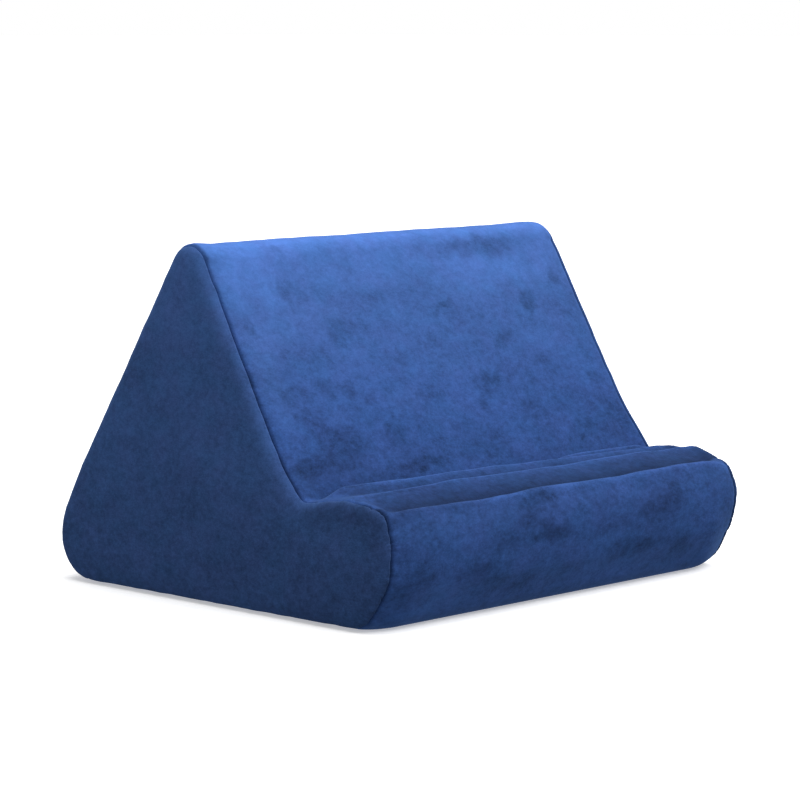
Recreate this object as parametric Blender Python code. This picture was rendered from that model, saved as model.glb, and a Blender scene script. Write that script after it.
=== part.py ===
"""Tablet pillow stand: a foam-filled wedge in a velour cover.

One long panel wraps round the filling: reclined rest, apex, back, base, front lip and ledge.
Its two ends are closed by side panels, each a crowned sheet sewn round the whole outline.
Metres, +Z up, the front lip towards -Y, the width along X, the origin under the middle on the floor.
"""

import math
from typing import NamedTuple

import bmesh
import bpy
import numpy as np

# Driving dimensions
SEAM_WIDTH = 0.273  # from one end seam to the other, at the floor
DEPTH = 0.2520  # from the lip's front to the back
HEIGHT = 0.1840
LEAN = 0.0035  # how far each end leans in, from the floor to the top
RECLINE_DEG = 60.0  # the rest, above the floor
BACK_DEG = 58.0  # the back, above the floor
APEX_RADIUS = 0.0155
BACK_FOOT_RADIUS = 0.0255
LEDGE_HEIGHT = 0.062  # the ledge where it meets the rest, at the end seams
GROOVE_FLOOR = 0.056  # bottom of the groove behind the first ridge

# Cloth and seams
CLOTH = 0.002  # velour and its pile
SEAM_GAP = 0.00045
PINCH = 0.0012  # how far the end seams draw the wrap in
PINCH_REACH = 0.012
RIM_RISE = 0.0035  # the side panel rounds over by this much beyond its seam ...
RIM_REACH = 0.006  # ... within this distance of it
DOME_RISE = 0.0035  # and crowns by this much more towards its middle ...
DOME_REACH = 0.015  # ... most of it within this distance
PANEL_MIDDLE = (-0.012, 0.036)  # y and z of the point that the panel's rings close in on

# Where the sections stand, as distances from each end seam
NEAR_SEAM = (0.0, 0.003, 0.007, 0.012, 0.019, 0.028, 0.040, 0.055, 0.075, 0.100)
# Rings of an end: distances in from its outline, then the last ring's share of its size
END_INSETS = (0.0, 0.0008, 0.0025, 0.006)
END_SHARES = (0.84, 0.62, 0.32)

MOST_OF_A_SIDE = 0.48  # an arc takes up no more than this share of the straight beside it
SHARP_DEG = 50  # faces that meet at more than this are shaded with an edge

VELOUR_BLUE = (0.055, 0.115, 0.350, 1.0)


LEAN_OF_REST = math.radians(RECLINE_DEG)
LEAN_OF_BACK = math.radians(BACK_DEG)
FRONT = -DEPTH / 2
# Where the back's line, produced down, meets the floor
BACK_FOOT_Y = DEPTH / 2 + BACK_FOOT_RADIUS * (1 / math.tan(LEAN_OF_BACK / 2) - 1)


def rest_y(z):
    """The reclined rest's line, produced up and down."""
    round_z = HEIGHT - APEX_RADIUS  # the middle of the apex's round
    round_y = BACK_FOOT_Y - round_z / math.tan(LEAN_OF_BACK) - APEX_RADIUS / math.sin(LEAN_OF_BACK)
    return round_y - APEX_RADIUS / math.sin(LEAN_OF_REST) - (round_z - z) / math.tan(LEAN_OF_REST)


APEX_Z = (BACK_FOOT_Y - rest_y(0)) / (1 / math.tan(LEAN_OF_REST) + 1 / math.tan(LEAN_OF_BACK))
APEX_Y = rest_y(APEX_Z)


class Corner(NamedTuple):
    """One rounded corner of the wrap's outline."""

    name: str
    y: float  # well inside the end seams ...
    z_left: float  # ... near the left seam ...
    z_right: float  # ... and near the right one
    radius: float
    seam_y: float  # at the end seams
    seam_z: float
    seam_radius: float
    from_left: float  # how far in from the left seam it has come to its inner place
    from_right: float
    arc: int  # faces round the corner
    run: int  # faces along the straight that follows it


# From the base's back end up over the apex and down to the lip, as seen from +X
CORNERS = (
    Corner("back_foot", BACK_FOOT_Y, 0, 0, BACK_FOOT_RADIUS, BACK_FOOT_Y, 0, 0.0285, 0.03, 0.03, 8, 5),
    Corner("apex", APEX_Y, APEX_Z, APEX_Z, APEX_RADIUS, APEX_Y, APEX_Z, APEX_RADIUS, 0.02, 0.02, 8, 6),
    Corner("groove", rest_y(GROOVE_FLOOR), GROOVE_FLOOR, GROOVE_FLOOR, 0.004,
           rest_y(LEDGE_HEIGHT), LEDGE_HEIGHT, 0.010, 0.030, 0.012, 4, 2),
    Corner("ridge_1", -0.0735, 0.0690, 0.0655, 0.0035, -0.0735, 0.0632, 0.008, 0.018, 0.006, 4, 1),
    Corner("tuck", -0.0825, 0.0622, 0.0618, 0.0025, -0.0825, 0.0644, 0.008, 0.055, 0.006, 3, 1),
    Corner("ridge_2", -0.0910, 0.0670, 0.0670, 0.0045, -0.0910, 0.0656, 0.010, 0.055, 0.008, 4, 2),
    Corner("crease", -0.1118, 0.0575, 0.0590, 0.0010, -0.1100, 0.0642, 0.006, 0.012, 0.010, 3, 1),
    Corner("lip_edge", -0.1170, 0.0617, 0.0630, 0.0050, -0.1195, 0.0615, 0.010, 0.012, 0.014, 4, 1),
    Corner("lip_front", FRONT - 0.0003, 0.0465, 0.0465, 0.024, FRONT + 0.001, 0.045, 0.016, 0.02, 0.02, 4, 1),
    Corner("lip_under", FRONT + 0.0012, 0.024, 0.024, 0.030, FRONT + 0.0028, 0.025, 0.028, 0.02, 0.02, 4, 1),
    Corner("front_foot", FRONT + 0.015, 0, 0, 0.016, FRONT + 0.0195, 0, 0.018, 0.02, 0.02, 4, 6),
)


class Wave(NamedTuple):
    """How a fold wanders up and down along the width."""

    height: float
    length: float
    turns: float  # its phase


STILL = Wave(0, 1, 0)
FOLD_WAVES = {
    "ridge_1": Wave(0.0005, 0.115, 0.10),
    "tuck": Wave(0.0004, 0.090, 0.55),
    "ridge_2": Wave(0.0004, 0.100, 0.40),
    "crease": Wave(0.0005, 0.085, 0.75),
    "lip_edge": Wave(0.0005, 0.085, 0.75),
}


def ease(share):
    """0 at 0 and below, 1 at 1 and above, level at both ends."""
    share = min(max(share, 0.0), 1.0)
    return share * share * (3 - 2 * share)


def corner_at(corner, x):
    """(y, z, radius) of a corner of the section at x."""
    half = SEAM_WIDTH / 2
    inner = ease((half + x) / corner.from_left) * ease((half - x) / corner.from_right)
    wave = FOLD_WAVES.get(corner.name, STILL)
    z = corner.z_left + (corner.z_right - corner.z_left) * (x + half) / SEAM_WIDTH
    z += wave.height * math.sin(math.tau * (x / wave.length + wave.turns))
    return (
        corner.seam_y + (corner.y - corner.seam_y) * inner,
        corner.seam_z + (z - corner.seam_z) * inner,
        corner.seam_radius + (corner.radius - corner.seam_radius) * inner,
    )


def rounded(before, corner, after, radius, faces):
    """The corner's arc: faces + 1 points of the circle that touches both straights."""
    back, on = before - corner, after - corner
    reach_back, reach_on = np.linalg.norm(back), np.linalg.norm(on)
    back, on = back / reach_back, on / reach_on
    half_angle = math.acos(np.clip(back @ on, -1, 1)) / 2
    room = MOST_OF_A_SIDE * min(reach_back, reach_on)
    tangent = min(radius / math.tan(half_angle), room)
    start, end = corner + back * tangent, corner + on * tangent
    weight = math.sin(half_angle)  # makes the rational curve a circle's arc
    points = []
    for t in np.linspace(0, 1, faces + 1):
        a, b, c = (1 - t) ** 2, 2 * weight * t * (1 - t), t**2
        points.append((a * start + b * corner + c * end) / (a + b + c))
    return points


def outline(x):
    """The section at x as an array of (y, z), before the seams draw it in."""
    corners = [corner_at(corner, x) for corner in CORNERS]
    places = [np.array(corner[:2]) for corner in corners]
    after = places[1:] + places[:1]
    arcs = [
        rounded(places[i - 1], places[i], after[i], corners[i][2], corner.arc)
        for i, corner in enumerate(CORNERS)
    ]
    points = []
    for corner, arc, next_arc in zip(CORNERS, arcs, arcs[1:] + arcs[:1]):
        points += arc
        shares = np.arange(1, corner.run) / corner.run
        points += [arc[-1] + (next_arc[0] - arc[-1]) * share for share in shares]
    return np.array(points)


def inward(points):
    """Unit vectors into a closed outline that runs anticlockwise as its (y, z) are drawn."""
    along = np.roll(points, -1, axis=0) - np.roll(points, 1, axis=0)
    along /= np.linalg.norm(along, axis=1)[:, None]
    return np.stack([-along[:, 1], along[:, 0]], axis=1)


def wrap_section(x):
    """The wrap's outline at x, drawn in near the end seams."""
    points = outline(x)
    near = max(0.0, 1 - (SEAM_WIDTH / 2 - abs(x)) / PINCH_REACH)
    return points + inward(points) * PINCH * near**2


def distance_to(outline_points, places):
    """How far each place lies from the closed outline."""
    starts = outline_points
    spans = np.roll(outline_points, -1, axis=0) - starts
    away = places[:, None] - starts
    along = np.clip((away * spans).sum(axis=2) / (spans**2).sum(axis=1), 0, 1)
    return np.linalg.norm(away - along[..., None] * spans, axis=2).min(axis=1)


def crown(inside):
    """How far the side panel stands out, at these distances from its seam."""
    to_rim = 1 - np.minimum(inside / RIM_REACH, 1)
    return RIM_RISE * np.sqrt(1 - to_rim**2) + DOME_RISE * (1 - np.exp(-inside / DOME_REACH))


def end_rings(side, seat, lowered):
    """An end's rings from its rim to its middle, and the middle point.

    seat is how far from the end seam's plane the rim lies. lowered is how far the face lies under
    the side panel's outer face, though nowhere below the rim."""
    rim = wrap_section(side * SEAM_WIDTH / 2)
    middle = np.array([PANEL_MIDDLE])
    places = [rim + inward(rim) * inset for inset in END_INSETS]
    places += [middle + (places[-1] - middle) * share for share in END_SHARES] + [middle]
    rings = []
    for points in places:
        rise = np.maximum(crown(distance_to(rim, points)) - lowered, 0)
        rings.append([(side * (SEAM_WIDTH / 2 + seat + up), y, z) for up, (y, z) in zip(rise, points)])
    return rings[:-1], rings[-1][0]


def leaned(point):
    x, y, z = point
    return x * (1 - 2 * LEAN / SEAM_WIDTH * z / HEIGHT), y, z


def velour(name):
    material = bpy.data.materials.new(name)
    material.use_nodes = True
    shader = material.node_tree.nodes["Principled BSDF"]
    shader.inputs["Base Color"].default_value = VELOUR_BLUE
    shader.inputs["Roughness"].default_value = 0.9
    shader.inputs["Metallic"].default_value = 0.0
    shader.inputs["Sheen Weight"].default_value = 0.6
    material.diffuse_color = VELOUR_BLUE
    return material


def loft(name, rings, first, last):
    """A closed solid through the rings, closed at each end by a fan to its middle point."""
    mesh = bmesh.new()
    rows = [[mesh.verts.new(leaned(point)) for point in row] for row in rings]
    count = len(rows[0])
    for below, above in zip(rows, rows[1:]):
        for i in range(count):
            j = (i + 1) % count
            mesh.faces.new((below[i], below[j], above[j], above[i]))
    for row, middle in ((rows[0], first), (rows[-1], last)):
        hub = mesh.verts.new(leaned(middle))
        for i in range(count):
            mesh.faces.new((row[i], row[(i + 1) % count], hub))
    bmesh.ops.recalc_face_normals(mesh, faces=mesh.faces)
    data = bpy.data.meshes.new(name)
    mesh.to_mesh(data)
    mesh.free()
    data.shade_smooth()
    data.set_sharp_from_angle(angle=math.radians(SHARP_DEG))
    data.materials.append(velour(name + "_velour"))
    return bpy.data.objects.new(name, data)


def wrap_cushion():
    """The filling in its wrap-round panel, with the crowned ends that the side panels lie on."""
    half = SEAM_WIDTH / 2
    from_left = [-half + step for step in NEAR_SEAM]
    stations = from_left + [0.0] + [-x for x in reversed(from_left)]
    left, left_middle = end_rings(-1, -SEAM_GAP / 2, CLOTH)
    right, right_middle = end_rings(1, -SEAM_GAP / 2, CLOTH)
    body = [[(x, y, z) for y, z in wrap_section(x)] for x in stations[1:-1]]
    return loft("wrap_cushion", left[::-1] + body + right, left_middle, right_middle)


def side_panel(name, side):
    """A sheet of velour over one end: its outer face crowned, its inner face over the filling."""
    outer, outer_middle = end_rings(side, SEAM_GAP / 2, 0.0)
    inner, inner_middle = end_rings(side, SEAM_GAP / 2, CLOTH)
    return loft(name, inner[:0:-1] + outer, inner_middle, outer_middle)


def main():
    for old in list(bpy.data.objects):
        bpy.data.objects.remove(old, do_unlink=True)
    group = bpy.data.collections.new("tablet_pillow_stand")
    bpy.context.scene.collection.children.link(group)
    group.objects.link(wrap_cushion())
    group.objects.link(side_panel("side_panel_left", -1))
    group.objects.link(side_panel("side_panel_right", 1))


main()
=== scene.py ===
"""Tablet pillow stand in royal blue velour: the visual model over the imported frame.

A foam-filled wedge. One panel wraps round it: back, apex, reclined rest, ledge with its soft folds,
front lip and base. A side panel is sewn round each end. Metres, +Z up, the front lip towards -Y.
"""

import math
from functools import partial
from typing import NamedTuple

import bpy
import numpy as np
from mathutils import Matrix, Vector, noise
from mathutils.geometry import delaunay_2d_cdt


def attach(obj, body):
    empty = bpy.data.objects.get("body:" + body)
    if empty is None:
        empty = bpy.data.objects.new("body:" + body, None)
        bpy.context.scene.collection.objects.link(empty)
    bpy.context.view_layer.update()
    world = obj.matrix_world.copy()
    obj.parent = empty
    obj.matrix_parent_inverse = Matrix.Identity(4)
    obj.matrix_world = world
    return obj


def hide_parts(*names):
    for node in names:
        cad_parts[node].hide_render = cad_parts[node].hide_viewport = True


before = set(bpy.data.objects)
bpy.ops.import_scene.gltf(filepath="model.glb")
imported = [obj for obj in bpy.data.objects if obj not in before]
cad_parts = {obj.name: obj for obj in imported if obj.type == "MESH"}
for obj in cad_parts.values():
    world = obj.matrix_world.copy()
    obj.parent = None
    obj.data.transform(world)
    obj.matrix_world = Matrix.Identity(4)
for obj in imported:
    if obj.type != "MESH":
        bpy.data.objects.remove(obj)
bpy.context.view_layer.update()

# ---------------------------------------------------------------- sizes
FRONT = -0.1260
BACK = 0.1260
HEIGHT = 0.1840
SEAM_WIDTH = 0.2730
HALF = SEAM_WIDTH / 2
LEAN = 0.0035  # how far each end leans in, from the floor to the top
REST_LEAN = math.radians(60)
BACK_LEAN = math.radians(58)
APEX_RADIUS = 0.0155
BACK_FOOT_RADIUS = 0.0255
GROOVE_FLOOR = 0.056

CLOTH = 0.0015
LINING_GAP = 0.0003  # between the side panel and the filling under it
SEAM_DEPTH = 0.0019  # how deep the seam's line is
SEAM_HALF = 0.00062  # and how fast it opens
SEAM_SPLIT = 0.00006  # from the seam's plane to each of the two pieces that meet there
PINCH = 0.0012  # how far the seam draws the outline in
PINCH_REACH = 0.012
RIM_RISE = 0.0035  # how far the side panel rises just inside its seam
RIM_REACH = 0.0060
DOME_RISE = 0.0040  # and how much more towards its middle
DOME_REACH = 0.022

BACK_FOOT_Y = BACK + BACK_FOOT_RADIUS * (1 / math.tan(BACK_LEAN / 2) - 1)


def rest_y(z):
    """The reclined rest's line, produced up and down."""
    round_z = HEIGHT - APEX_RADIUS
    round_y = BACK_FOOT_Y - round_z / math.tan(BACK_LEAN) - APEX_RADIUS / math.sin(BACK_LEAN)
    return round_y - APEX_RADIUS / math.sin(REST_LEAN) - (round_z - z) / math.tan(REST_LEAN)


APEX_Z = (BACK_FOOT_Y - rest_y(0)) / (1 / math.tan(REST_LEAN) + 1 / math.tan(BACK_LEAN))
APEX_Y = rest_y(APEX_Z)


class Corner(NamedTuple):
    """One rounded corner of the wrap's outline, in its middle and at the seams."""

    name: str
    y: float
    z_left: float
    z_right: float
    radius: float
    seam_y: float
    seam_z: float
    seam_radius: float
    from_left: float  # over how long it changes from the left seam's shape to the middle's
    from_right: float
    arc: int  # faces round the corner
    run: int  # faces along the straight that follows it


CORNERS = (
    Corner("back_foot", BACK_FOOT_Y, 0, 0, BACK_FOOT_RADIUS,
           BACK_FOOT_Y - 0.0008, 0, 0.0265, 0.03, 0.03, 26, 60),
    Corner("apex", APEX_Y, APEX_Z, APEX_Z, APEX_RADIUS, APEX_Y, APEX_Z, 0.0143, 0.02, 0.02, 26, 54),
    Corner("rest_foot", rest_y(0.080), 0.080, 0.080, 0.060,
           rest_y(0.078), 0.078, 0.060, 0.030, 0.030, 4, 10),
    Corner("groove", rest_y(GROOVE_FLOOR), GROOVE_FLOOR, GROOVE_FLOOR, 0.004,
           -0.0621, 0.0612, 0.0030, 0.020, 0.012, 12, 6),
    Corner("ridge_0", -0.0660, 0.0614, 0.0662, 0.0025, -0.0660, 0.0619, 0.008, 0.017, 0.020, 10, 3),
    Corner("tuck_0", -0.0697, 0.0647, 0.0628, 0.0020, -0.0697, 0.0625, 0.008, 0.017, 0.012, 8, 3),
    Corner("ridge_1", -0.0735, 0.0684, 0.0644, 0.0026, -0.0735, 0.0632, 0.008, 0.017, 0.004, 14, 3),
    Corner("tuck", -0.0825, 0.0622, 0.0612, 0.0022, -0.0825, 0.0644, 0.008, 0.045, 0.006, 10, 3),
    Corner("ridge_2", -0.0910, 0.0658, 0.0658, 0.0034, -0.0910, 0.0656, 0.010, 0.040, 0.009, 14, 14),
    Corner("crease", -0.1118, 0.0575, 0.0588, 0.0010, -0.1100, 0.0642, 0.006, 0.012, 0.016, 10, 2),
    Corner("lip_edge", -0.1170, 0.0612, 0.0622, 0.0050, -0.1195, 0.0615, 0.010, 0.012, 0.022, 16, 10),
    Corner("lip_front", FRONT - 0.0003, 0.0465, 0.0465, 0.024,
           FRONT + 0.001, 0.045, 0.016, 0.02, 0.024, 22, 6),
    Corner("lip_under", FRONT + 0.0012, 0.024, 0.024, 0.030,
           FRONT + 0.0028, 0.025, 0.028, 0.02, 0.024, 22, 8),
    Corner("front_foot", FRONT + 0.015, 0, 0, 0.016, FRONT + 0.0195, 0, 0.018, 0.02, 0.02, 20, 50),
)
RIGHT_SEAM = {  # where the right end's seam differs from the left one's: y, z, radius
    "apex": (APEX_Y, APEX_Z, APEX_RADIUS),
    "rest_foot": (rest_y(0.088), 0.088, 0.090),
    "groove": (-0.0640, 0.0585, 0.004),
    "ridge_0": (-0.0672, 0.0603, 0.008),
    "tuck_0": (-0.0712, 0.0626, 0.008),
    "ridge_1": (-0.0760, 0.0653, 0.006),
    "tuck": (-0.0845, 0.0648, 0.006),
    "ridge_2": (-0.0930, 0.0667, 0.008),
    "crease": (-0.1090, 0.0617, 0.006),
    "lip_edge": (-0.1173, 0.0582, 0.010),
    "lip_front": (FRONT + 0.0014, 0.0442, 0.016),
    "lip_under": (FRONT + 0.0059, 0.025, 0.028),
}
FOLD_STARTS = {  # a fold of the right part alone: from which x, and over how long it rises
    "ridge_0": (0.026, 0.050),
    "tuck_0": (0.030, 0.050),
}
ORDER = [corner.name for corner in CORNERS]
LEAST_TANGENT = 0.0008  # it keeps a corner's points apart where the outline is straight
MOST_TANGENT = 0.48  # of the way to the next corner


class Wave(NamedTuple):
    height: float
    length: float
    turns: float


class Swell(NamedTuple):
    """A place along X where something is higher, or painted lighter as a painted glint, or less so where
    height is below 0.
    """

    height: float
    x: float
    reach: float


FOLD_WAVES = {
    "ridge_1": (Wave(0.0003, 0.115, 0.10), Wave(0.00012, 0.041, 0.3)),
    "tuck": (Wave(0.0003, 0.090, 0.55),),
    "ridge_2": (Wave(0.0002, 0.100, 0.40), Wave(0.00012, 0.036, 0.8)),
    "crease": (Wave(0.0004, 0.120, 0.375), Wave(0.00012, 0.027, 0.15)),
    "lip_edge": (Wave(0.0005, 0.120, 0.375), Wave(0.00015, 0.037, 0.6)),
}
FOLD_SWELLS = {
    "ridge_1": (Swell(0.0008, -0.056, 0.024), Swell(-0.0005, 0.036, 0.030)),
    "ridge_2": (Swell(0.0017, -0.064, 0.020), Swell(-0.0005, -0.016, 0.014)),
}


def ease(share):
    """0 to 1, with a level start and end."""
    share = np.clip(share, 0.0, 1.0)
    return share * share * (3 - 2 * share)


def ramp(value, start, end):
    """0 at start and 1 at end, eased."""
    return ease((value - start) / (end - start))


def bell(away, reach):
    """1 where away is 0, falling to almost nothing at twice the reach."""
    return np.exp(-((away / reach) ** 2))


def rows(kind, *values):
    return tuple(kind(*row) for row in values)


def waves_at(name, x):
    waves = sum(w.height * math.sin(math.tau * (x / w.length + w.turns)) for w in FOLD_WAVES.get(name, ()))
    return waves + sum(s.height * bell(x - s.x, s.reach) for s in FOLD_SWELLS.get(name, ()))


# ---------------------------------------------------------------- the wrap's outline
def corner_at(corner, x):
    """A corner's y, z and radius at x."""
    inner = ease((HALF + x) / corner.from_left) * ease((HALF - x) / corner.from_right)
    share = (x + HALF) / SEAM_WIDTH
    if corner.name in FOLD_STARTS:
        start, over = FOLD_STARTS[corner.name]
        share = ease((x - start) / over)
    z = corner.z_left + (corner.z_right - corner.z_left) * share
    z += waves_at(corner.name, x)
    seam_y, seam_z, seam_radius = corner.seam_y, corner.seam_z, corner.seam_radius
    if x > 0:
        seam_y, seam_z, seam_radius = RIGHT_SEAM.get(corner.name, (seam_y, seam_z, seam_radius))
    return (
        seam_y + (corner.y - seam_y) * inner,
        seam_z + (z - seam_z) * inner,
        seam_radius + (corner.radius - seam_radius) * inner,
    )


def rounded(before, corner, after, radius, faces):
    """The points of a corner's arc, as a conic between the two straights beside it."""
    back, on = before - corner, after - corner
    reach_back, reach_on = np.linalg.norm(back), np.linalg.norm(on)
    back, on = back / reach_back, on / reach_on
    half_angle = math.acos(np.clip(back @ on, -1, 1)) / 2
    tangent = min(radius / math.tan(half_angle), MOST_TANGENT * min(reach_back, reach_on))
    tangent = max(tangent, LEAST_TANGENT)
    start, end = corner + back * tangent, corner + on * tangent
    t = np.linspace(0, 1, faces + 1)[:, None]
    a, b, c = (1 - t) ** 2, 2 * math.sin(half_angle) * t * (1 - t), t**2
    return (a * start + b * corner + c * end) / (a + b + c)


def drawn_outline(x):
    corners = [corner_at(corner, x) for corner in CORNERS]
    places = [np.array(corner[:2]) for corner in corners]
    after = places[1:] + places[:1]
    arcs = [
        rounded(places[i - 1], places[i], after[i], corners[i][2], corner.arc)
        for i, corner in enumerate(CORNERS)
    ]
    points = []
    for corner, arc, next_arc in zip(CORNERS, arcs, arcs[1:] + arcs[:1]):
        shares = (np.arange(1, corner.run) / corner.run)[:, None]
        points += [arc, arc[-1] + (next_arc[0] - arc[-1]) * shares]
    return np.concatenate(points)


def outline_marks():
    """For each point of the outline: its corner's number, plus 0 to 0.5 on its arc or 0.5 to 1 after."""
    marks = []
    for i, corner in enumerate(CORNERS):
        run = np.arange(1, corner.run) / corner.run
        marks += [i + np.linspace(0, 0.5, corner.arc + 1), i + 0.5 + 0.5 * run]
    return np.concatenate(marks)


ALONG = outline_marks()
COUNT = len(ALONG)


def place(corner, share):
    """A place on the outline, as ALONG counts it: 0 to 0.5 is on the corner's arc, 0.5 to 1 on its run."""
    return ORDER.index(corner) + share


def between(first, first_share, last, last_share):
    """1 on the outline from one place to another, 0 elsewhere."""
    return ((ALONG >= place(first, first_share)) & (ALONG <= place(last, last_share))).astype(float)


# Near the seams the back foot is drawn in a little above the floor, and the back swells above that.
FOOT_HOLLOW = 0.0014 * np.interp(ALONG, (0.20, 0.38, 0.47, 0.56), (0, 1, 1, 0))
BACK_SWELL = 0.0009 * bell(ALONG - 0.6125, 0.11)
HOLLOW_REACH = 0.04


def inward(points):
    along = np.roll(points, -1, axis=0) - np.roll(points, 1, axis=0)
    along /= np.linalg.norm(along, axis=1)[:, None]
    return np.stack([-along[:, 1], along[:, 0]], axis=1)


def outline(x):
    """The wrap's outline at x, before it is stuffed and sewn."""
    points = drawn_outline(x)
    near_seam = 1 - ease((HALF - abs(x)) / HOLLOW_REACH)
    return points + inward(points) * ((FOOT_HOLLOW - BACK_SWELL) * near_seam)[:, None]


SEED_STEP = (7.1, 3.7, 5.3)


def noise_at(points, size, seed):
    shift = Vector([seed * step for step in SEED_STEP])
    return np.array([noise.noise(Vector(p) / size + shift) for p in points])


class Lumps(NamedTuple):
    """The filling's unevenness under the cloth: how wide its lumps are, and the noise's first seed."""

    coarse: float
    fine: float
    seed: int


WRAP_LUMPS = Lumps(0.045, 0.016, 1)
PANEL_LUMPS = Lumps(0.05, 0.018, 5)
COARSE_HEIGHT, FINE_HEIGHT = 0.0006, 0.0003


def stuffing(points, lumps):
    """How far the filling's lumps push the cloth out or let it in, in metres."""
    coarse = COARSE_HEIGHT * noise_at(points, lumps.coarse, lumps.seed)
    return coarse + FINE_HEIGHT * noise_at(points, lumps.fine, lumps.seed + 1)


# ---------------------------------------------------------------- seams
RIM = outline(-HALF)
RIM_LENGTH = np.linalg.norm(np.roll(RIM, -1, axis=0) - RIM, axis=1)
RIM_AT = (np.cumsum(RIM_LENGTH) - RIM_LENGTH) / RIM_LENGTH.sum()  # 0 to 1 round the seam

LEDGE_SEAM = 0.35  # how deep the seam's line is along the ledge, against elsewhere
SEAM_SHARE = np.interp(
    ALONG,
    (place("rest_foot", 0.80), place("groove", 0.20), place("ridge_2", 0.60), place("ridge_2", 0.97)),
    (1.0, LEDGE_SEAM, LEDGE_SEAM, 1.0),
)


def seam_groove(distance):
    """The seam's line, shallower where it runs along the ledge."""
    return SEAM_DEPTH * SEAM_SHARE * np.exp(-distance / SEAM_HALF)


class Ripple(NamedTuple):
    count: int  # whole waves round the seam
    height: float


WANDER = rows(Ripple, (5, 0.00022), (17, 0.00014), (41, 0.00008))
UNEVEN = rows(Ripple, (31, 0.00010), (47, 0.00008), (71, 0.00006))
RIPPLE_TURNS = {-1: 0.13, 1: 0.44}  # so that the two ends differ


def round_seam(side, ripples):
    """A gentle closed wave round the seam: its ends meet."""
    return sum(
        ripple.height * np.sin(math.tau * (RIM_AT * ripple.count + RIPPLE_TURNS[side] * (i + 1)))
        for i, ripple in enumerate(ripples)
    )


class Gather(NamedTuple):
    """A short crease across the seam."""

    corner: str
    share: float
    depth: float


GATHERS = rows(
    Gather,
    ("crease", 0.20, 0.00100), ("lip_edge", 0.15, 0.00040), ("lip_edge", 0.42, 0.00030),
    ("lip_edge", 0.80, 0.00045), ("lip_front", 0.10, 0.00050), ("lip_front", 0.28, 0.00035),
    ("lip_front", 0.47, 0.00055), ("lip_front", 0.80, 0.00030), ("lip_under", 0.12, 0.00045),
    ("lip_under", 0.33, 0.00030), ("lip_under", 0.60, 0.00050), ("front_foot", 0.08, 0.00045),
    ("front_foot", 0.30, 0.00040), ("apex", 0.08, 0.00025), ("apex", 0.24, 0.00020),
    ("apex", 0.40, 0.00020), ("back_foot", 0.05, 0.00040), ("back_foot", 0.20, 0.00030),
    ("back_foot", 0.36, 0.00045),
)
GATHER_WIDTH = 0.0011
GATHER_SHIFT = 0.03  # how far each end's gathers are moved along, one way and the other


def puckers(side):
    """Gathers where the seam turns, and a gentle unevenness all round."""
    total = round_seam(side, UNEVEN)
    perimeter = RIM_LENGTH.sum()
    for gather in GATHERS:
        at = np.interp(place(gather.corner, gather.share + GATHER_SHIFT * side), ALONG, RIM_AT)
        away = np.abs((RIM_AT - at + 0.5) % 1 - 0.5) * perimeter
        total += gather.depth * bell(away, GATHER_WIDTH)
    return total


def end_outline(side):
    points = outline(side * HALF)
    return points + inward(points) * PINCH


# ---------------------------------------------------------------- meshes
def leaned(points):
    points = np.array(points, float)
    points[:, 0] *= 1 - 2 * LEAN / SEAM_WIDTH * points[:, 2] / HEIGHT
    return points


class Fill(NamedTuple):
    """What closes the end of a form: points inside its last ring, and triangles that join them to it."""

    inside: np.ndarray
    triangles: list


def closed_form(name, rings, first, last, looks):
    """A closed form through the rings, which all have the same count of points."""
    count = len(rings[0])
    points = np.concatenate([*rings, first.inside, last.inside])
    faces = []
    for row in range(len(rings) - 1):
        a, b = row * count, (row + 1) * count
        faces += [(a + i, a + (i + 1) % count, b + (i + 1) % count, b + i) for i in range(count)]
    last_ring, after = (len(rings) - 1) * count, len(rings) * count
    ends = ((first, 0, after, -1), (last, last_ring, after + len(first.inside), 1))
    for fill, ring, inside, turn in ends:
        for triangle in fill.triangles:
            corners = [ring + i if i < count else inside + i - count for i in triangle]
            faces.append(corners[::turn])
    mesh = bpy.data.meshes.new(name)
    mesh.from_pydata(leaned(points).tolist(), [], faces)
    mesh.shade_smooth()
    for label, values in looks.items():
        attribute = mesh.attributes.new(label, "FLOAT", "POINT")
        attribute.data.foreach_set("value", values.astype(np.float32))
    piece = bpy.data.objects.new(name, mesh)
    bpy.context.scene.collection.objects.link(piece)
    return piece


def distance_to(rim, places):
    """How far each place is from a closed line, and whether it is inside."""
    ends = np.roll(rim, -1, axis=0)
    along = ends - rim
    share = ((places[:, None] - rim) * along).sum(axis=2) / (along**2).sum(axis=1)
    nearest = rim + along * np.clip(share, 0, 1)[:, :, None]
    away = np.linalg.norm(places[:, None] - nearest, axis=2).min(axis=1)
    above = places[:, None, 1] < rim[:, 1]
    crosses = above != (places[:, None, 1] < ends[:, 1])
    safe = np.where(along[:, 1] == 0, 1, along[:, 1])
    left = places[:, None, 0] < rim[:, 0] + (places[:, None, 1] - rim[:, 1]) * along[:, 0] / safe
    return away, (crosses & left).sum(axis=1) % 2 == 1


CLEAR_OF_RIM = 0.7  # of the spacing
INSIDE_ONLY = 1  # delaunay_2d_cdt's output type: triangles inside the closed line alone
SAME_POINT = 1e-7


def filled(rim, spacing):
    """Places spread evenly inside a closed line, and the triangles that join them to it."""
    low, high = rim.min(axis=0), rim.max(axis=0)
    levels = np.arange(low[1], high[1], spacing * math.sqrt(0.75))
    grid = np.array([
        (y, z)
        for i, z in enumerate(levels)
        for y in np.arange(low[0] + (i % 2) * spacing / 2, high[0], spacing)
    ])
    away, inside = distance_to(rim, grid)
    grid = grid[inside & (away > CLEAR_OF_RIM * spacing)]
    places = [Vector(p) for p in np.concatenate([rim, grid])]
    count = len(rim)
    edges = [(i, (i + 1) % count) for i in range(count)]
    made = delaunay_2d_cdt(places, edges, [list(range(count))], INSIDE_ONLY, SAME_POINT)
    first = [originals[0] for originals in made[3]]
    return grid, [tuple(first[i] for i in face) for face in made[2]]
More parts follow.
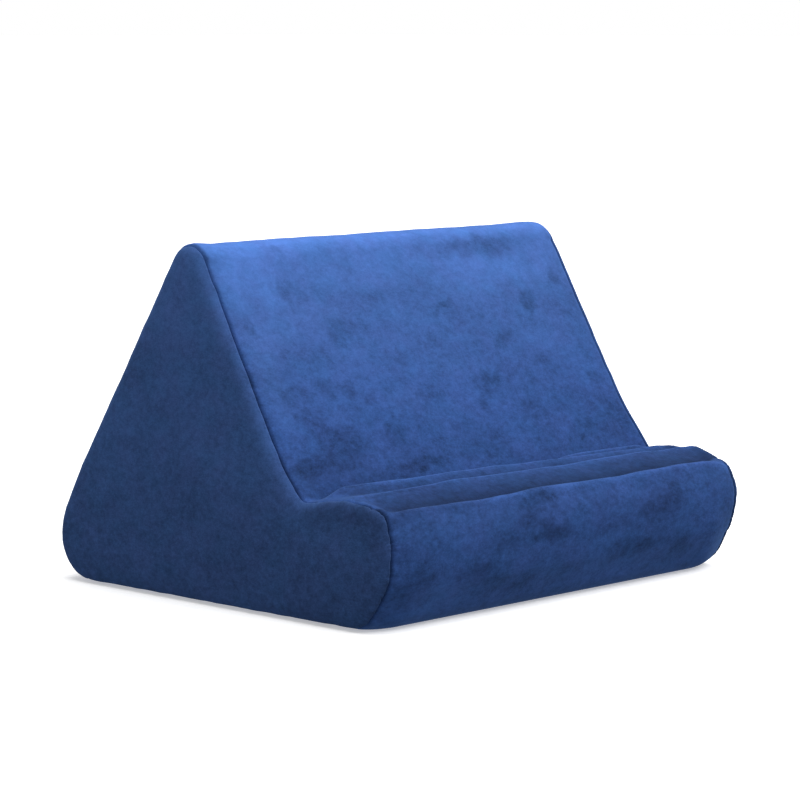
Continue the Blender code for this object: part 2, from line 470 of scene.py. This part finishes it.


# ---------------------------------------------------------------- the lie of the pile, and painted light and shade
class Brushed(NamedTuple):
    """A place where the pile lies the other way: millimetres, and degrees."""

    x: float
    z: float
    half_x: float
    half_z: float
    tilt: float
    light: float  # how much lighter, or darker if below 0


DARK_ON_REST = rows(
    Brushed,
    (66, 174, 31, 5.0, 2, -0.27), (84, 171, 12, 5, 0, -0.20), (-85, 180, 2.5, 2.0, 0, -0.20),
    (-90, 159, 5, 5.5, 0, -0.22), (-80, 157, 5, 2.5, 0, -0.12), (21, 143, 10, 1.8, 12, -0.24),
    (92, 143, 5, 6, 0, -0.28), (122, 155, 2.5, 2.5, 0, -0.22), (-63, 135, 11, 6.5, 20, -0.16),
    (-46, 137, 7, 3.5, 0, -0.14), (58, 124, 11, 2.5, 32, -0.18), (-127, 144, 4, 5, 0, -0.20),
    (-114, 109, 12, 4.5, -6, -0.19), (-89, 110, 5, 5, 0, -0.20), (-74, 109, 5, 3.5, 0, -0.22),
    (32, 103, 11, 5.5, 10, -0.26), (23, 94, 5, 5, 0, -0.18), (-13, 102, 12, 2.5, 0, -0.15),
    (-60, 103, 4, 3, 0, -0.12), (-108, 96, 14, 4, -22, -0.20), (-89, 85, 17, 7, -8, -0.30),
    (-52, 84, 9, 6.5, 0, -0.24), (23, 78, 8, 4, 0, -0.14), (121, 100, 11, 3, -25, -0.18),
    (125, 86, 9, 4, 0, -0.20), (127, 75, 8, 5, 0, -0.18), (-122, 74, 13, 5.5, 0, -0.24),
    (-94, 75, 14, 4, 0, -0.22), (-48, 68, 36, 3.2, 3, -0.26), (89, 132, 8, 4, 0, -0.10),
    (-28, 120, 4, 4, 0, -0.12), (-28, 152, 5, 4, 0, -0.09), (5, 128, 5, 3, 0, -0.09),
    (102, 88, 22, 10, 0, -0.10), (60, 90, 9, 4, 12, -0.12), (86, 112, 9, 5, -10, -0.10),
    (-4, 84, 7, 4, 0, -0.11),
)
DARK_ON_LIP = rows(
    Brushed,
    (-22, 58, 8, 5, 0, -0.30), (-38, 51, 9, 8, 0, -0.27), (-22, 39, 15, 5.5, -6, -0.28),
    (-54, 40, 11, 6, 8, -0.20), (-117, 52, 13, 2.2, 0, -0.20), (-117, 27, 13, 8, 10, -0.24),
    (-76, 25, 12, 6, 0, -0.22), (-38, 15, 13, 2.6, 22, -0.24), (65, 42, 16, 4, 8, -0.26),
    (80, 48, 4, 6.5, 0, -0.26), (88, 59, 5, 2.2, 0, -0.16), (33, 23, 10, 5.5, 0, -0.27),
    (54, 23, 9, 4.5, 0, -0.24), (89, 19, 10, 7, 0, -0.24), (24, 36, 15, 3, 14, -0.15),
    (-102, 41, 9, 4.5, 0, -0.14), (112, 24, 8, 5, 0, -0.14), (-60, 17, 12, 4, 0, -0.14),
    (0, 18, 14, 4, 6, -0.14), (-130, 42, 5, 8, 0, -0.14),
)
LIGHT_ON_REST = rows(
    Brushed,
    (-112, 160, 17, 22, 0, 0.22), (72, 158, 38, 8, 0, 0.15), (-124, 118, 8, 26, 0, 0.14),
    (-35, 101, 12, 5, 0, 0.10), (-60, 165, 40, 6, 0, 0.06), (12, 114, 16, 5, 0, 0.07),
    (-70, 146, 18, 7, 0, 0.06), (-88, 96, 7, 3, 0, 0.08), (60, 77, 40, 5, 0, 0.08),
    (-10, 90, 20, 5, 0, 0.06),
)
LIGHT_ON_LIP = rows(
    Brushed,
    (-90, 54, 28, 5, 0, 0.08), (-4, 53, 13, 7, 0, 0.14), (50, 53, 20, 4, 0, 0.12),
    (104, 44, 16, 9, 0, 0.10), (-84, 40, 12, 6, 0, 0.08), (8, 30, 12, 5, 0, 0.06),
)
MM = 0.001
MARK_REACH = 1.7  # a mark fades out this many of its own half widths from its middle
LIGHT_MIDDLE = 1.4  # above 1, a light mark has a level middle
WARP_SIZE, WARP_X, WARP_Z = 0.009, 0.005, 0.004  # how noise moves the marks about
WARP_SEEDS = 3, 4
ON_BACK_FAINTER = 0.8  # the photo doesn't show the back: it takes the rest's marks, mirrored


class Warp(NamedTuple):
    """How far noise moves each point before its place among the marks is read."""

    x: np.ndarray
    z: np.ndarray


def nearness(mark, points, warp):
    """1 in the mark's middle, falling to 0 at its reach."""
    tilt = math.radians(mark.tilt)
    dx = points[:, 0] - mark.x * MM + warp.x
    dz = points[:, 2] - mark.z * MM + warp.z
    along = (dx * math.cos(tilt) + dz * math.sin(tilt)) / (mark.half_x * MM)
    across = (dz * math.cos(tilt) - dx * math.sin(tilt)) / (mark.half_z * MM)
    return np.clip(1 - np.hypot(along, across) / MARK_REACH, 0, 1)


def brushed(points, marks, warp):
    """For each point, how near it is to the mark that covers it most, and that mark's darkness."""
    near = np.array([nearness(mark, points, warp) for mark in marks])
    darkness = np.array([mark.light for mark in marks])
    return near.max(axis=0), darkness[near.argmax(axis=0)]


def glow(points, marks, warp):
    """How much lighter the light marks make each point."""
    return sum(mark.light * ease(LIGHT_MIDDLE * nearness(mark, points, warp)) for mark in marks)


class NapAndPaintedLight(NamedTuple):
    """How light the pile is painted at one place on the outline: partly the way that it lies there, partly
    painted light and shade, with painted highlights on the apex and the crests and painted shade in the
    tucks and the crease.
    """

    corner: str
    share: float
    light: float


# nap and painted light round the outline: painted highlights on the apex and the crests, painted shade in
# the tucks and the crease
NAPS_AND_PAINTED_LIGHT = rows(
    NapAndPaintedLight,
    ("back_foot", 0.05, 0.78), ("back_foot", 0.25, 0.86), ("back_foot", 0.60, 0.95),
    ("back_foot", 0.90, 1.00), ("apex", 0.02, 1.35), ("apex", 0.20, 1.62), ("apex", 0.34, 1.68),
    ("apex", 0.40, 1.45), ("apex", 0.49, 1.30), ("apex", 0.56, 1.16), ("apex", 0.62, 0.98),
    ("apex", 0.76, 0.90), ("apex", 0.86, 0.78), ("apex", 0.98, 0.69), ("rest_foot", 0.95, 0.57),
    ("groove", 0.25, 0.50), ("groove", 0.75, 0.54),
    ("ridge_0", 0.05, 0.56), ("ridge_0", 0.25, 0.96), ("ridge_0", 0.48, 0.66),
    ("tuck_0", 0.25, 0.50), ("tuck_0", 0.75, 0.54),
    ("ridge_1", 0.05, 0.60), ("ridge_1", 0.25, 0.88), ("ridge_1", 0.45, 0.70),
    ("ridge_1", 0.58, 0.60), ("ridge_1", 0.75, 0.46), ("tuck", 0.25, 0.41), ("tuck", 0.75, 0.52),
    ("ridge_2", 0.05, 0.56), ("ridge_2", 0.25, 0.96), ("ridge_2", 0.45, 0.74),
    ("ridge_2", 0.54, 0.56), ("ridge_2", 0.64, 0.42), ("ridge_2", 0.78, 0.35),
    ("ridge_2", 0.93, 0.24), ("crease", 0.25, 0.20), ("crease", 0.75, 0.44),
    ("lip_edge", 0.10, 0.55), ("lip_edge", 0.25, 0.72), ("lip_edge", 0.45, 0.68),
    ("lip_edge", 0.60, 0.58), ("lip_edge", 0.80, 0.53), ("lip_front", 0.05, 0.51),
    ("lip_front", 0.25, 0.58), ("lip_front", 0.45, 0.67), ("lip_front", 0.75, 0.64),
    ("lip_under", 0.10, 0.65), ("lip_under", 0.45, 0.77), ("lip_under", 0.90, 0.75),
    ("front_foot", 0.25, 0.76), ("front_foot", 0.75, 0.70),
)
NAP_AND_LIGHT_ALONG = np.interp(
    ALONG,
    [place(lie.corner, lie.share) for lie in NAPS_AND_PAINTED_LIGHT],
    [lie.light for lie in NAPS_AND_PAINTED_LIGHT],
    period=len(CORNERS),
)

ON_BACK = between("back_foot", 0.3, "apex", -0.01)
ON_APEX = between("apex", 0.0, "apex", 0.5)
ON_REST = between("apex", 0.0, "groove", 0.4)
ON_REST_FOOT = np.clip((ALONG - place("apex", 0.90)) / 0.30, 0, 1) * between("apex", 0.90, "groove", 0.0)
ON_LEDGE = between("groove", 0.0, "crease", 0.5)
FIRST_CREST = between("ridge_1", 0.05, "ridge_1", 0.58)
SECOND_CREST = between("ridge_2", 0.05, "ridge_2", 0.54)
LIP_TOP = np.interp(ALONG - ORDER.index("crease"), (0.49, 0.50, 1.45, 1.85), (0, 1, 1, 0))
ON_LIP = between("lip_edge", 0.0, "front_foot", 0.3)


class Shade(NamedTuple):
    """How much lighter the painted light makes the pile at x = end than at x = start, or darker (painted
    shade) if below 0.
    """

    change: float
    start: float
    end: float


PAINTED_LIGHT_ACROSS = (  # painted light and shade: a part of the outline, how its painted lightness changes along X, and its painted glints
    (ON_LEDGE, rows(Shade, (-0.17, -0.002, -0.057), (-0.14, -0.040, 0.010), (-0.05, 0.050, 0.100)), ()),
    (ON_REST_FOOT, rows(Shade, (-0.14, -0.055, -0.095)), ()),
    (LIP_TOP, rows(Shade, (-0.38, -0.045, -0.090)), ()),
    # the first crest carries a painted glint
    (FIRST_CREST, rows(Shade, (-0.08, -0.010, -0.030), (-0.15, -0.098, -0.113)),
     rows(Swell, (0.38, -0.082, 0.018))),
    (SECOND_CREST, rows(Shade, (-0.25, -0.075, -0.095)), ()),
)
STRIP_PAINTED_SHEEN, STRIP_REACH = 0.60, 0.0105  # painted sheen along the ledge's left seam: the folds there are all painted this light, where they roll down to the seam
SEAM_SHADE, SEAM_SHADE_REACH = 0.30, 0.0010  # painted shade along the seam's line, where the cloth dips in


def nap_and_painted_light_at(x):
    """The nap and the painted light and shade round the wrap's outline at x."""
    nap_and_painted_light = NAP_AND_LIGHT_ALONG
    for where, shades, swells in PAINTED_LIGHT_ACROSS:
        change = sum(shade.change * ramp(x, shade.start, shade.end) for shade in shades)
        change += sum(swell.height * bell(x - swell.x, swell.reach) for swell in swells)
        nap_and_painted_light = nap_and_painted_light * (1 + where * change)
    nap_and_painted_light = nap_and_painted_light + ON_LEDGE * bell(HALF + x, STRIP_REACH) * (STRIP_PAINTED_SHEEN - nap_and_painted_light)
    return nap_and_painted_light * (1 - SEAM_SHADE * SEAM_SHARE**2 * bell(HALF - abs(x), SEAM_SHADE_REACH))


def pile_at(x, solid):
    """Each point's nap with painted light and shade, nearness to a mark and that mark's darkness. solid:
    the outline's points at x.
    """
    across, up = (noise_at(solid, WARP_SIZE, seed) for seed in WARP_SEEDS)
    warp = Warp(WARP_X * across, WARP_Z * up)
    near_rest, dark_rest = brushed(solid, DARK_ON_REST, warp)
    near_lip, dark_lip = brushed(solid, DARK_ON_LIP, warp)
    near_back, dark_back = brushed(solid * (-1, 1, 1), DARK_ON_REST, warp)
    lit = ON_REST * glow(solid, LIGHT_ON_REST, warp) + ON_LIP * glow(solid, LIGHT_ON_LIP, warp)
    return (
        nap_and_painted_light_at(x) * (1 + lit),
        ON_REST * near_rest + ON_LIP * near_lip + ON_BACK * near_back,
        ON_REST * dark_rest + ON_LIP * dark_lip + ON_BACK * dark_back * ON_BACK_FAINTER,
    )


# ---------------------------------------------------------------- the wrap
STATION_STEP = 0.0018
NEAR_SEAM = (  # the rings close to each seam: how far they are from it
    0, 0.00015, 0.0003, 0.0005, 0.0008, 0.0012, 0.0017, 0.0024, 0.0033, 0.0044, 0.0057, 0.0072, 0.0089,
)
APEX_SPARED = 0.95  # of the pinch: the apex is hardly drawn in
PINCH_ALONG = PINCH * (1 - APEX_SPARED * ON_APEX)
PUCKER_REACH, STRAY_REACH = 0.0045, 0.010  # over how long the seam's unevenness fades out on the wrap
REST_BELLY, BACK_BELLY = 0.0010, 0.0016  # how far the stuffing pushes them out
DOWN_REST = np.interp(  # 0 to 1 down the rest by length: the corner at its foot comes late
    ALONG - ORDER.index("rest_foot"), (-0.5, 0, 0.5, 1), (0, 0.83, 0.85, 1)
)
UP_BACK = np.clip((ALONG - place("back_foot", 0.5)) * 2, 0, 1)  # 0 to 1 up the back
LUMPS_OFF_FLOOR, LUMPS_OFF_SEAM = 0.008, 0.006  # the stuffing's lumps fade out over these


def stations():
    """Where the wrap's rings lie along X."""
    clear = NEAR_SEAM[-1]
    steps = round((SEAM_WIDTH - 2 * clear) / STATION_STEP)
    middle = np.linspace(-HALF + clear, HALF - clear, steps + 1)[1:-1]
    return [d - HALF for d in NEAR_SEAM] + list(middle) + [HALF - d for d in reversed(NEAR_SEAM)]


def wrap_ring(x, side, points, solid, wander, pucker):
    """The outline at x, stuffed and drawn in at the seam."""
    from_end = HALF - abs(x)
    inside = PINCH_ALONG * max(0.0, 1 - from_end / PINCH_REACH) ** 2 + seam_groove(from_end)
    inside = inside + pucker * math.exp(-from_end / PUCKER_REACH)
    belly = 1 - (x / HALF) ** 2
    inside = inside - REST_BELLY * belly * np.sin(math.pi * DOWN_REST)
    inside = inside - BACK_BELLY * belly * np.sin(math.pi * UP_BACK)
    soft = ease(points[:, 1] / LUMPS_OFF_FLOOR) * ease(from_end / LUMPS_OFF_SEAM)
    inside = inside + soft * stuffing(solid, WRAP_LUMPS)
    stray = side * wander * math.exp(-from_end / STRAY_REACH)
    return np.column_stack([x + stray - side * SEAM_SPLIT, points + inward(points) * inside[:, None]])


def wrap_rings():
    """The wrap's rings from the left seam to the right one, and what pile_at says of their points."""
    wander = {side: round_seam(side, WANDER) for side in (-1, 1)}
    pucker = {side: puckers(side) for side in (-1, 1)}
    rings, pile = [], []
    for x in stations():
        side = -1 if x < 0 else 1
        points = outline(x)
        solid = np.column_stack([np.full(COUNT, x), points])
        rings.append(wrap_ring(x, side, points, solid, wander[side], pucker[side]))
        pile.append(pile_at(x, solid))
    return rings, *zip(*pile)


# ---------------------------------------------------------------- the ends
FINE_INSETS = (
    0, 0.00006, 0.00016, 0.0003, 0.0005, 0.0008, 0.0012, 0.0017, 0.0023, 0.0030, 0.0038, 0.0046,
)
FINE_SPACING = 0.0022
HIDDEN_INSETS = (0, 0.0012, 0.0028, 0.0046)
HIDDEN_SPACING = 0.006
LEAST_INSET = 1e-4
LEAST_AWAY = 1e-5
PANEL_PUCKER_REACH, PANEL_STRAY_REACH = 0.0035, 0.004
LUMPS_OFF_RIM = 0.012


def smooth_depth(rim, places):
    """A distance from the rim that stays smooth where two of its sides are equally near."""
    ends = np.roll(rim, -1, axis=0)
    middles, lengths = (rim + ends) / 2, np.linalg.norm(ends - rim, axis=1)
    away = np.linalg.norm(places[:, None] - middles, axis=2)
    return (2 / (lengths / np.maximum(away, LEAST_AWAY) ** 3).sum(axis=1)) ** 0.5


def end_height(side, rim, places, inset):
    """How far the side panel's face stands out beyond the seam's plane."""
    to_rim = 1 - np.minimum(inset / RIM_REACH, 1)
    dome = DOME_RISE * (1 - np.exp(-smooth_depth(rim, places) / DOME_REACH))
    solid = np.column_stack([np.full(len(places), side * HALF), places])
    lumps = stuffing(solid, PANEL_LUMPS) * ease(inset / LUMPS_OFF_RIM)
    return RIM_RISE * np.sqrt(1 - to_rim**2) + dome + lumps


def end_rings(side, insets, spacing, lowered, split):
    """An end's rings from its rim inwards, this far lowered under its face, and what fills the last one."""
    rim = end_outline(side)
    into = inward(rim)
    stray, pucker = round_seam(side, WANDER), puckers(side)
    rings = []
    for inset in insets:
        rise = end_height(side, rim, rim + into * max(inset, LEAST_INSET), np.full(COUNT, inset))
        rise = np.maximum(rise - lowered, 0)
        uneven = pucker * np.exp(-rise / PANEL_PUCKER_REACH) * (1 - ease(inset / insets[-1]))
        deep = inset + seam_groove(rise) + uneven
        x = side * (HALF + split + rise + stray * math.exp(-inset / PANEL_STRAY_REACH))
        rings.append(np.column_stack([x, rim + into * deep[:, None]]))
    places, triangles = filled(rings[-1][:, 1:], spacing)
    rise = end_height(side, rim, places, distance_to(rim, places)[0])
    x = side * (HALF + split + np.maximum(rise - lowered, 0))
    return rings, Fill(np.column_stack([x, places]), triangles)


# painted light: the side panel is painted lighter towards the top, where more light falls
SIDE_HEIGHTS, SIDE_PAINTED_LIGHTS = (0.0, 0.05, 0.10, 0.18), (0.6848, 0.749, 0.856, 1.0914)
# painted shade in the lip's lobe, towards the front
LOBE_PAINTED_SHADE = 0.06
# painted shade on the lobe's top, near the rim
LOBE_TOP_PAINTED_SHADE, LOBE_TOP_REACH = 0.30, 0.011
# painted highlight on the rim beside the rest's seam, where the panel turns towards the light
BY_REST_PAINTED_HIGHLIGHT, BY_REST_REACH = 0.22, 0.007


def side_painted_light(rim, places):
    """The side panel's painted light and shade: lighter towards the top, a painted highlight along the
    rest's seam, painted shade towards the front in the lip's lobe, on the lobe's top rim and along the
    seam.
    """
    y, z = places[:, 0], places[:, 1]
    inset = distance_to(rim, places)[0]
    nap_and_painted_light = np.interp(z, SIDE_HEIGHTS, SIDE_PAINTED_LIGHTS) - LOBE_PAINTED_SHADE * ramp(y, -0.06, -0.11)
    by_rest = ramp(y - rest_y(z), 0.026, 0.006) * ramp(z, 0.055, 0.085) * ramp(z, 0.18, 0.15)
    on_lobe_top = ramp(y, -0.060, -0.080) * ramp(z, 0.040, 0.054)
    by_ledge = ramp(y, -0.058, -0.068) * ramp(z, 0.050, 0.058)
    nap_and_painted_light = nap_and_painted_light * (1 + BY_REST_PAINTED_HIGHLIGHT * by_rest * bell(inset, BY_REST_REACH))
    nap_and_painted_light = nap_and_painted_light * (1 - LOBE_TOP_PAINTED_SHADE * on_lobe_top * bell(inset, LOBE_TOP_REACH))
    return nap_and_painted_light * (1 - SEAM_SHADE * (1 - by_ledge) * bell(inset, SEAM_SHADE_REACH))


# ---------------------------------------------------------------- the velour
class Cloud(NamedTuple):
    """Noise in the pile, about 0."""

    size: float  # of its largest grain
    detail: float
    rough: float
    weight: float = 1.0


BROAD = Cloud(0.030, 2, 0.5, 0.52)
MOTTLE = Cloud(0.011, 3, 0.7, 0.42)
GRAIN = Cloud(0.0036, 3, 0.95, 1.00)
HUE = Cloud(0.014, 2, 0.6)
RAGGED = Cloud(0.010, 4, 0.65, 0.55)  # it moves the edges of the marks
DARK_NAP = 0.6  # the grain shows more the darker the nap and painted shade, down to this value
PILE_STRETCH = (0.72, 0.72, 1.0)  # the pile's marks are longer across than up
MARK_EDGE = (0.12, 0.72)  # nearness at the outside and the inside of a mark's edge
LEAST_LIGHT = 0.2
DARK = (0.0005, 0.0010, 0.0030)
BRIGHT = (0.0800, 0.1900, 0.5700)  # at twice the usual lightness
TEAL, VIOLET = (0.94, 1.015, 1.0), (1.065, 0.985, 1.0)
RICH = (-0.07, 0.0, 0.09)  # how the colour moves where the attribute "rich" is 1
RICH_OVER = 0.3  # the wrap's pile is a richer blue where its nap and painted shade are this much below 1
SIDE_RICH = -0.6
MOTTLE_RELIEF, GRAIN_RELIEF = 0.6, 0.5
BUMP = {"Strength": 0.4, "Distance": 0.0008}
PILE = {
    "Roughness": 0.95,
    "Specular IOR Level": 0.08,
    "Sheen Weight": 0.22,
    "Sheen Roughness": 0.35,
    "Sheen Tint": (0.25, 0.50, 1.0, 1),
}


def settings(node, values):
    for label, value in values.items():
        node.inputs[label].default_value = value


def calculation(tree, kind, operation, *values):
    """A node for one step of arithmetic. Each value is a constant or another node's output."""
    made = tree.nodes.new(kind)
    made.operation = operation
    for socket, value in zip(made.inputs, values):
        if isinstance(value, bpy.types.NodeSocket):
            tree.links.new(value, socket)
        else:
            socket.default_value = value
    return made.outputs[0]


def velour(name):
    """Short brushed pile: its colour follows the lie of the nap and the painted light and shade, with a
    fine grain and a soft sheen.
    """
    material = bpy.data.materials.new(name)
    material.use_nodes = True
    tree = material.node_tree
    shader = tree.nodes["Principled BSDF"]
    maths = partial(calculation, tree, "ShaderNodeMath")
    vectors = partial(calculation, tree, "ShaderNodeVectorMath")
    where = tree.nodes.new("ShaderNodeTexCoord").outputs["Object"]
    stretched = vectors("MULTIPLY", where, PILE_STRETCH)

    def noise_of(cloud):
        made = tree.nodes.new("ShaderNodeTexNoise")
        settings(made, {"Scale": 1 / cloud.size, "Detail": cloud.detail, "Roughness": cloud.rough})
        tree.links.new(stretched, made.inputs["Vector"])
        return maths("SUBTRACT", made.outputs["Fac"], 0.5)

    def attribute(label):
        made = tree.nodes.new("ShaderNodeAttribute")
        made.attribute_name = label
        return made.outputs["Fac"]

    def colours(share, start, end):
        """The colour from start to end at this share. start and end: a place and its colour."""
        made = tree.nodes.new("ShaderNodeValToRGB")
        for stop, (position, colour) in zip(made.color_ramp.elements, (start, end)):
            stop.position, stop.color = position, (*colour, 1)
        tree.links.new(share, made.inputs["Fac"])
        return made.outputs["Color"]

    mottle, grain = noise_of(MOTTLE), noise_of(GRAIN)
    edge = tree.nodes.new("ShaderNodeMapRange")
    edge.interpolation_type = "SMOOTHSTEP"
    settings(edge, {"From Min": MARK_EDGE[0], "From Max": MARK_EDGE[1]})
    ragged = maths("MULTIPLY_ADD", noise_of(RAGGED), RAGGED.weight, attribute("near"))
    tree.links.new(ragged, edge.inputs["Value"])
    light = maths("MULTIPLY_ADD", edge.outputs["Result"], attribute("dark"), 1.0)
    grain_weight = maths("DIVIDE", GRAIN.weight, maths("MAXIMUM", attribute("nap_and_painted_light"), DARK_NAP))
    for field, weight in ((noise_of(BROAD), BROAD.weight), (mottle, MOTTLE.weight), (grain, grain_weight)):
        light = maths("MULTIPLY_ADD", field, weight, light)
    light = maths("MULTIPLY", maths("MAXIMUM", light, LEAST_LIGHT), attribute("nap_and_painted_light"))

    blue = colours(maths("MULTIPLY", light, 0.5), (0.0, DARK), (1.0, BRIGHT))
    hue = colours(maths("ADD", noise_of(HUE), 0.5), (0.35, TEAL), (0.65, VIOLET))
    richer = vectors("MULTIPLY_ADD", attribute("rich"), RICH, (1, 1, 1))
    colour = vectors("MULTIPLY", vectors("MULTIPLY", blue, hue), richer)
    tree.links.new(colour, shader.inputs["Base Color"])

    bump = tree.nodes.new("ShaderNodeBump")
    settings(bump, BUMP)
    relief = maths("MULTIPLY_ADD", mottle, MOTTLE_RELIEF, maths("MULTIPLY", grain, GRAIN_RELIEF))
    tree.links.new(relief, bump.inputs["Height"])
    tree.links.new(bump.outputs["Normal"], shader.inputs["Normal"])
    settings(shader, PILE)
    return material


# ---------------------------------------------------------------- the pieces
def dress(piece, node, material):
    piece.data.materials.append(material)
    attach(piece, "root")
    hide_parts(node)


def build_wrap(material):
    rings, naps_and_painted_light, nears, darks = wrap_rings()
    lowered = CLOTH + LINING_GAP
    left, left_fill = end_rings(-1, HIDDEN_INSETS[1:], HIDDEN_SPACING, lowered, -SEAM_SPLIT)
    right, right_fill = end_rings(1, HIDDEN_INSETS[1:], HIDDEN_SPACING, lowered, -SEAM_SPLIT)
    before = len(left) * COUNT
    after = len(right) * COUNT + len(left_fill.inside) + len(right_fill.inside)
    rich = [np.clip((1.0 - nap_and_painted_light) / RICH_OVER, 0, 1) for nap_and_painted_light in naps_and_painted_light]
    shown = {"nap_and_painted_light": (naps_and_painted_light, 1.0), "near": (nears, 0.0), "dark": (darks, 0.0), "rich": (rich, 0.0)}
    looks = {
        label: np.concatenate([np.full(before, hidden), *values, np.full(after, hidden)])
        for label, (values, hidden) in shown.items()
    }
    wrap = closed_form("wrap_velour", left[::-1] + rings + right, left_fill, right_fill, looks)
    dress(wrap, "wrap_cushion", material)


def build_side(name, node, side, material):
    outer, outer_fill = end_rings(side, FINE_INSETS, FINE_SPACING, 0.0, SEAM_SPLIT)
    inner, inner_fill = end_rings(side, HIDDEN_INSETS, HIDDEN_SPACING, CLOTH, SEAM_SPLIT)
    rings = inner[:0:-1] + outer
    every = np.concatenate([*rings, inner_fill.inside, outer_fill.inside])
    none = np.zeros(len(every))
    nap_and_painted_light = side_painted_light(end_outline(side), every[:, 1:])
    looks = {"nap_and_painted_light": nap_and_painted_light, "near": none, "dark": none, "rich": none + SIDE_RICH}
    piece = closed_form(name, rings, inner_fill, outer_fill, looks)
    if side < 0:
        piece.data.flip_normals()
    dress(piece, node, material)


cloth = velour("velour_blue")
build_wrap(cloth)
build_side("side_left_velour", "side_panel_left", -1, cloth)
build_side("side_right_velour", "side_panel_right", 1, cloth)

# ---------------------------------------------------------------- stage, light and camera
FLOOR_REACH = 60.0
FLOOR = {
    "Base Color": (0.84, 0.84, 0.84, 1),
    "Roughness": 0.8,
    "Emission Color": (1, 1, 1, 1),
    "Emission Strength": 0.4,
}
SUN_FROM = Vector((0.22, -0.30, 0.93))
SUN_SPREAD = math.radians(80)
SUN_POWER = 4.1
SKY, HORIZON, BOUNCE = 0.35, 1.0, 0.35
BELOW, ABOVE = (0.0, BOUNCE), (0.62, SKY)  # 0 is straight down, 1 straight up
AT_HORIZON = ((0.48, BOUNCE), (0.49, HORIZON), (0.56, HORIZON))


def floor():
    """White, and glowing a little: the photo's object stands on pure white."""
    reach = FLOOR_REACH
    corners = [(-reach, -reach, 0), (reach, -reach, 0), (reach, reach, 0), (-reach, reach, 0)]
    mesh = bpy.data.meshes.new("floor")
    mesh.from_pydata(corners, [], [(0, 1, 2, 3)])
    piece = bpy.data.objects.new("floor", mesh)
    pale = bpy.data.materials.new("pale_floor")
    pale.use_nodes = True
    settings(pale.node_tree.nodes["Principled BSDF"], FLOOR)
    piece.data.materials.append(pale)
    piece.visible_diffuse = piece.visible_glossy = False  # the world's lower half stands for its bounce
    bpy.context.scene.collection.objects.link(piece)


def key_light():
    data = bpy.data.lights.new("key", "SUN")
    data.angle = SUN_SPREAD
    data.energy = SUN_POWER
    lamp = bpy.data.objects.new("key", data)
    lamp.rotation_euler = SUN_FROM.to_track_quat("Z", "Y").to_euler()
    bpy.context.scene.collection.objects.link(lamp)


def studio():
    """White at the horizon, dimmer above and below."""
    world = bpy.data.worlds.new("studio")
    world.use_nodes = True
    tree = world.node_tree
    split = tree.nodes.new("ShaderNodeSeparateXYZ")
    ramp_node = tree.nodes.new("ShaderNodeValToRGB")
    stops = ramp_node.color_ramp.elements
    for stop, (position, grey) in zip(list(stops), (BELOW, ABOVE)):
        stop.position, stop.color = position, (grey, grey, grey, 1)
    for position, grey in AT_HORIZON:
        stops.new(position).color = (grey, grey, grey, 1)
    tree.links.new(tree.nodes.new("ShaderNodeTexCoord").outputs["Generated"], split.inputs[0])
    height = calculation(tree, "ShaderNodeMath", "MULTIPLY_ADD", split.outputs["Z"], 0.5, 0.5)
    tree.links.new(height, ramp_node.inputs["Fac"])
    tree.links.new(ramp_node.outputs["Color"], tree.nodes["Background"].inputs["Color"])
    bpy.context.scene.world = world


AZIMUTH, ELEVATION = math.radians(-46.231), math.radians(6.849)
DISTANCE = 1.6867
LOOK_AT = Vector((-0.0015, 0.0008, 0.0946))
LENS, SENSOR = 140.63, 36.0


def photo_camera():
    """The camera that took the photo, solved from its perspective."""
    data = bpy.data.cameras.new("camera")
    data.lens, data.sensor_width = LENS, SENSOR
    camera = bpy.data.objects.new("camera", data)
    flat = math.cos(ELEVATION)
    back = Vector((math.sin(AZIMUTH) * flat, -math.cos(AZIMUTH) * flat, math.sin(ELEVATION)))
    right = Vector((math.cos(AZIMUTH), math.sin(AZIMUTH), 0))
    turn = Matrix((right, back.cross(right), back)).transposed().to_4x4()
    camera.matrix_world = Matrix.Translation(LOOK_AT + back * DISTANCE) @ turn
    bpy.context.scene.collection.objects.link(camera)
    bpy.context.scene.camera = camera


floor()
key_light()
studio()
photo_camera()
bpy.context.scene.view_settings.view_transform = "Standard"
